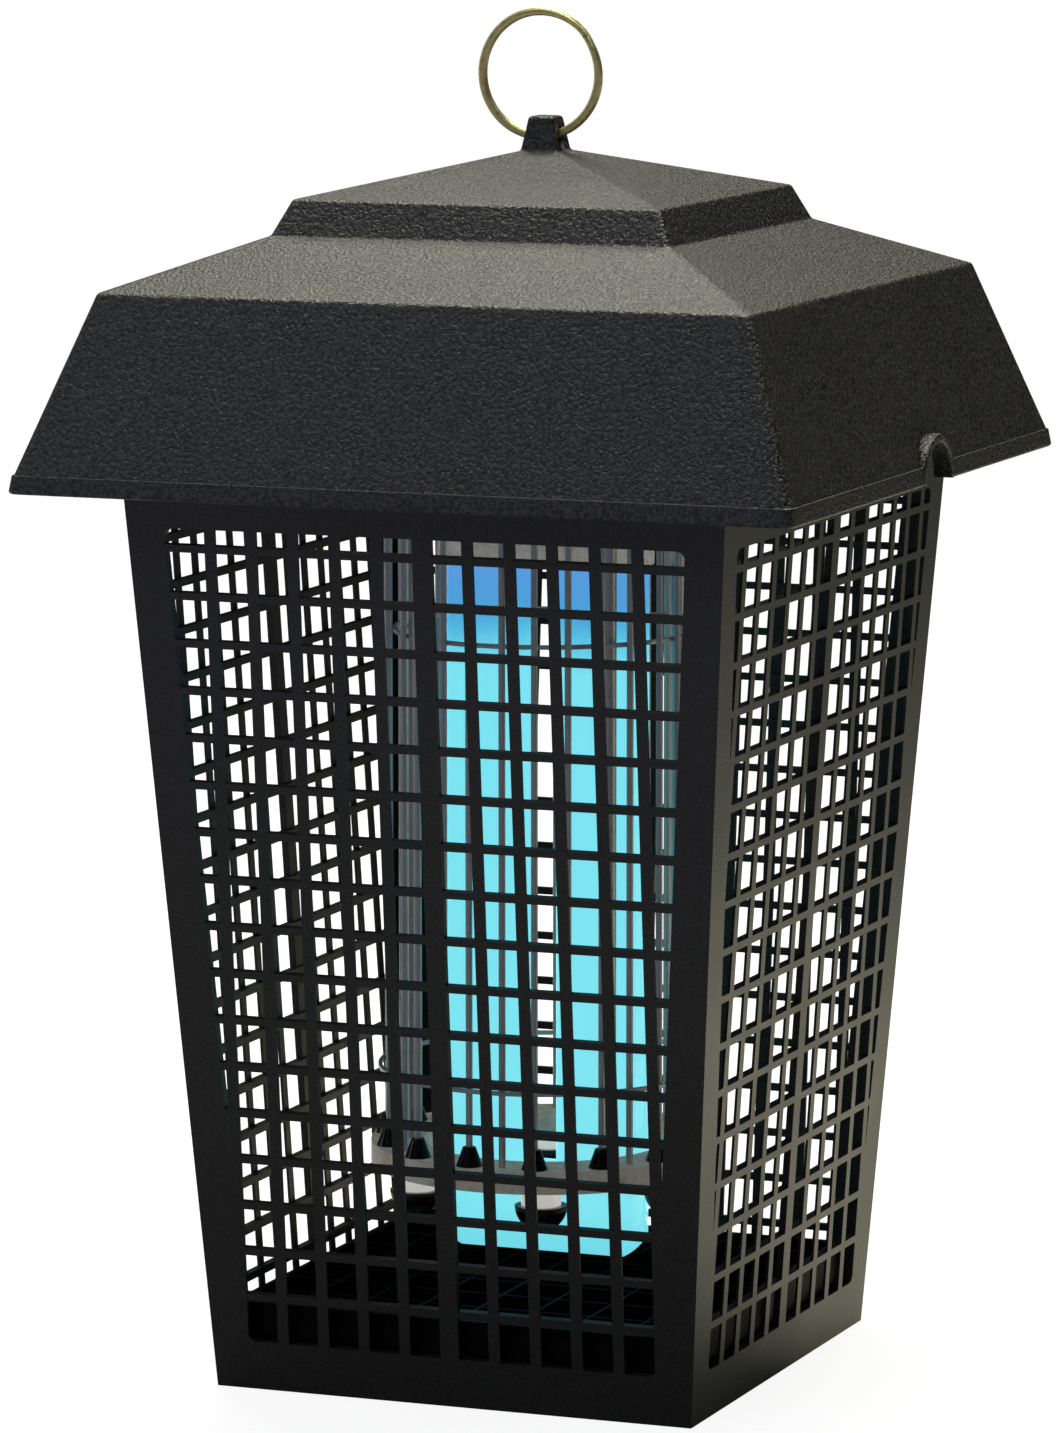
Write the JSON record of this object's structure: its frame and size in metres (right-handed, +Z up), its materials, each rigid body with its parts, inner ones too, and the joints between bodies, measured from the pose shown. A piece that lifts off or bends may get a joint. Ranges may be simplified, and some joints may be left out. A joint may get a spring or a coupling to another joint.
{
  "type": "electric bug zapper",
  "caption": "Outdoor electric insect killer: square pagoda hood over a tapered grille cage, with a U lamp inside a round killing grid and a hanging ring.",
  "frame": {"origin": "centre of the cage's base, on the surface it stands on", "axes": "+Z up, -Y out of the front grille, +X out of the side with the power inlet"},
  "size_m": [0.33, 0.33, 0.5555],
  "materials": {
    "cage_plastic": "black satin moulded plastic with a fine texture",
    "guard_plastic": "black moulded plastic, slightly glossy",
    "hood_plastic": "black pebbled weatherproof moulding",
    "zinc_screw": "bright zinc plate",
    "plate_steel": "galvanised sheet",
    "insulator_black": "black moulded insulation",
    "grid_plate": "beige laminate",
    "rod_steel": "drawn steel wire",
    "ceramic": "white glazed porcelain",
    "lamination": "dark varnished laminations",
    "copper_winding": "varnished copper winding",
    "taped_winding": "yellow insulating tape",
    "terminal": "cream nylon",
    "lead": "pale insulation",
    "blade_metal": "nickelled brass",
    "lamp_glass": "blacklight tube, lit",
    "lamp_cap": "light grey moulding",
    "ring_brass": "polished brass plate"
  },
  "bodies": {
    "cage": {"front_grille": "cage_plastic", "right_grille": "cage_plastic", "rear_grille": "cage_plastic", "left_grille": "cage_plastic", "cage_flange": "cage_plastic", "floor_guard": "guard_plastic", "cage_screws": "zinc_screw"},
    "hood": {"hood_shell": "hood_plastic", "mounting_plate": "plate_steel", "plate_screws": "zinc_screw", "lamp_socket": "insulator_black", "upper_grid_plate": "grid_plate", "lower_grid_ring": "grid_plate", "grid_posts": "rod_steel", "plate_spacers": "rod_steel", "post_screws": "zinc_screw", "ground_rods": "rod_steel", "ground_hoop": "rod_steel", "live_rods": "rod_steel", "live_hoop": "rod_steel", "rod_boots": "insulator_black", "insulator_cups": "insulator_black", "ceramic_beads": "ceramic", "ballast_core": "lamination", "ballast_winding": "copper_winding", "transformer_core": "lamination", "transformer_winding": "taped_winding", "terminal_block": "terminal", "component_screws": "zinc_screw", "lead_wires": "lead", "inlet_body": "insulator_black", "inlet_blades": "blade_metal"},
    "lamp": {"lamp_glass": "lamp_glass", "lamp_cap": "lamp_cap", "lamp_pins": "blade_metal"},
    "ring": {"hanging_ring": "ring_brass"}
  },
  "joints": [
    {"name": "hood_lift", "type": "slide", "parent": "cage", "child": "hood", "axis": [0, 0, 1], "range_m": [0, 0.36]},
    {"name": "lamp_pull", "type": "slide", "parent": "hood", "child": "lamp", "axis": [0, 0, -1], "range_m": [0, 0.008]},
    {"name": "ring_swing", "type": "hinge", "parent": "hood", "child": "ring", "pos_m": [0, 0, 0.5038], "axis": [1, 0, 0], "range_deg": [-100, 100]}
  ]
}
